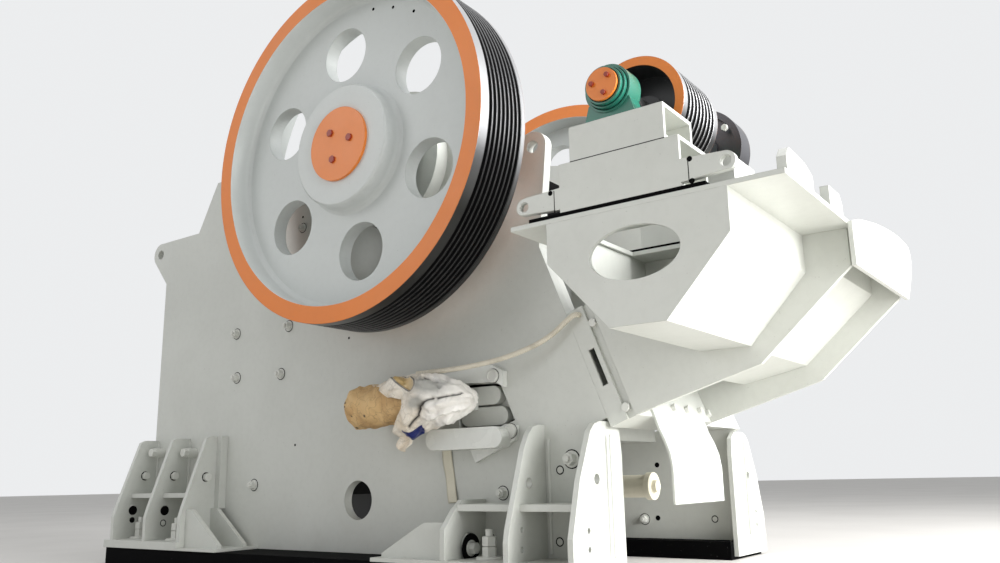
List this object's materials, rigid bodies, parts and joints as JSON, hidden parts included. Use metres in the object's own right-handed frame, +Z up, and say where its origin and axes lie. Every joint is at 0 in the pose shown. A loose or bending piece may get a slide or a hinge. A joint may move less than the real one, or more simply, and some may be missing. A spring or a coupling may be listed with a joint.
{
  "type": "jaw crusher",
  "caption": "Large primary jaw crusher with two spoked-hole flywheels on an eccentric shaft, plate frame on gusseted feet, and a folded motor bracket that carries a grooved countershaft pulley.",
  "frame": {"origin": "on the floor, at the middle of the rectangle of the four anchor bolts", "axes": "+X from the feed end to the motor bracket, +Y across the machine away from the grooved drive wheel, +Z up"},
  "size_m": [5.2338, 3.156, 3.47],
  "materials": {
    "frame_paint": "satin pale grey-green enamel over plate",
    "wheel_paint": "satin pale grey-green enamel with an orange face ring",
    "cap_orange": "satin orange enamel",
    "bearing_green": "gloss dark green enamel",
    "bed_black": "satin black enamel",
    "manganese_cast": "as cast manganese steel",
    "bright_steel": "turned steel",
    "paper_tan": "crumpled brown packing paper and tape",
    "film_white": "crumpled off-white packing film",
    "hose_white": "off-white cord"
  },
  "bodies": {
    "frame": {"side_plate_near": "frame_paint", "side_plate_far": "frame_paint", "front_wall": "frame_paint", "rear_wall": "frame_paint", "fixed_jaw": "manganese_cast", "swing_jaw": "frame_paint", "swing_jaw_liner": "manganese_cast", "cheek_plates": "manganese_cast", "toggle_plate": "manganese_cast", "toggle_beam": "frame_paint", "tension_rod": "bright_steel", "bearing_housing_near": "frame_paint", "bearing_housing_far": "frame_paint", "front_foot_near": "frame_paint", "front_foot_far": "frame_paint", "rear_foot_near": "frame_paint", "rear_foot_far": "frame_paint", "bed_near": "bed_black", "bed_far": "bed_black", "motor_deck": "frame_paint", "bracket_gusset_near": "frame_paint", "bracket_gusset_mid": "frame_paint", "outboard_pan": "frame_paint", "outboard_plate": "frame_paint", "inner_pan": "frame_paint", "slotted_beam": "frame_paint", "mounting_plate": "frame_paint", "pedestal_lower": "frame_paint", "pedestal_upper": "frame_paint", "pillow_block_near": "bearing_green", "pedestal_inner": "frame_paint", "pillow_block_inner": "bearing_green", "pedestal_pads": "bed_black", "end_cowl": "frame_paint", "deck_stops": "frame_paint", "chute_guard": "frame_paint", "window_bracket": "frame_paint", "adjusting_wedges": "frame_paint", "adjusting_cylinder": "frame_paint", "paper_wrap": "paper_tan", "film_wrap": "film_white", "hose": "hose_white"},
    "crank": {"eccentric_shaft": "bright_steel", "drive_wheel": "wheel_paint", "balance_wheel": "wheel_paint", "wheel_cap_near": "cap_orange", "wheel_cap_far": "cap_orange"},
    "countershaft": {"countershaft": "bright_steel", "small_pulley": "bright_steel", "drive_disc": "bright_steel", "counter_cap": "cap_orange"}
  },
  "joints": [
    {"name": "crank_spin", "type": "hinge", "parent": "frame", "child": "crank", "pos_m": [0.5095, 0, 2.42], "axis": [0, 1, 0], "continuous": true},
    {"name": "countershaft_spin", "type": "hinge", "parent": "frame", "child": "countershaft", "pos_m": [2.4055, -1, 2.11], "axis": [0, 1, 0], "continuous": true}
  ]
}
